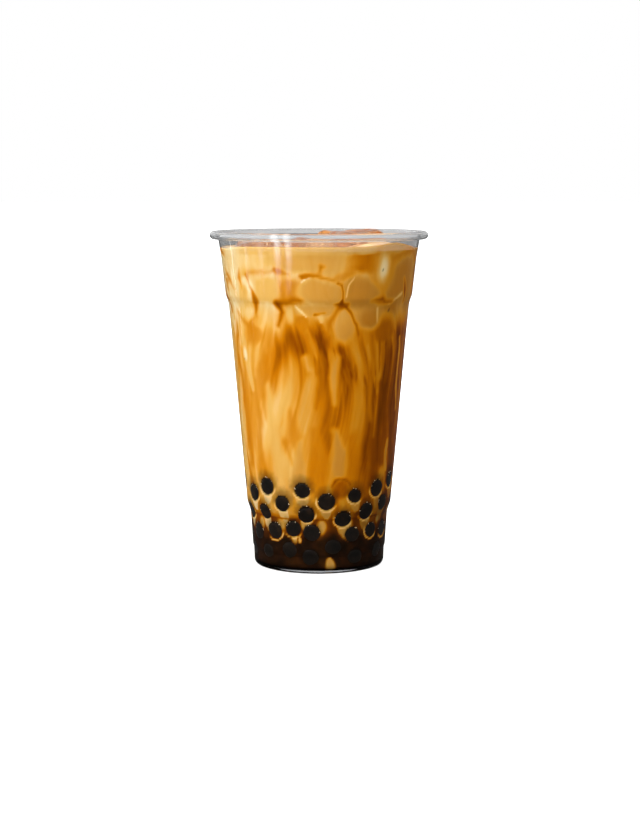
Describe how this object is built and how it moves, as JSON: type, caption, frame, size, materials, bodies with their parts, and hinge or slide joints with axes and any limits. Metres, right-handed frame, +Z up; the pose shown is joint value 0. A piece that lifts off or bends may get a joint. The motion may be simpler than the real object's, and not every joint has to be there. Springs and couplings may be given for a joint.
{
  "type": "bubble tea",
  "caption": "Tall clear plastic cup of brown sugar milk tea with syrup streaks, ice cubes at the top and a heap of dark tapioca pearls at the bottom.",
  "frame": {"origin": "middle of the ring that the cup stands on", "axes": "+Z up along the cup's axis, -Y towards the front, where the pictured side of the drink is"},
  "size_m": [0.0982, 0.0982, 0.1524],
  "materials": {
    "clear_plastic": "clear, glossy thermoformed plastic",
    "milk_tea": "opaque milk tea marbled with brown sugar syrup",
    "tapioca": "wet, glossy, nearly black brown",
    "ice": "wet ice tinted by the tea under it"
  },
  "bodies": {
    "root": {"cup": "clear_plastic", "milk_tea": "milk_tea", "pearls": "tapioca", "ice_left": "ice", "ice_middle": "ice", "ice_right": "ice", "ice_back_left": "ice", "ice_back_right": "ice"}
  },
  "joints": []
}
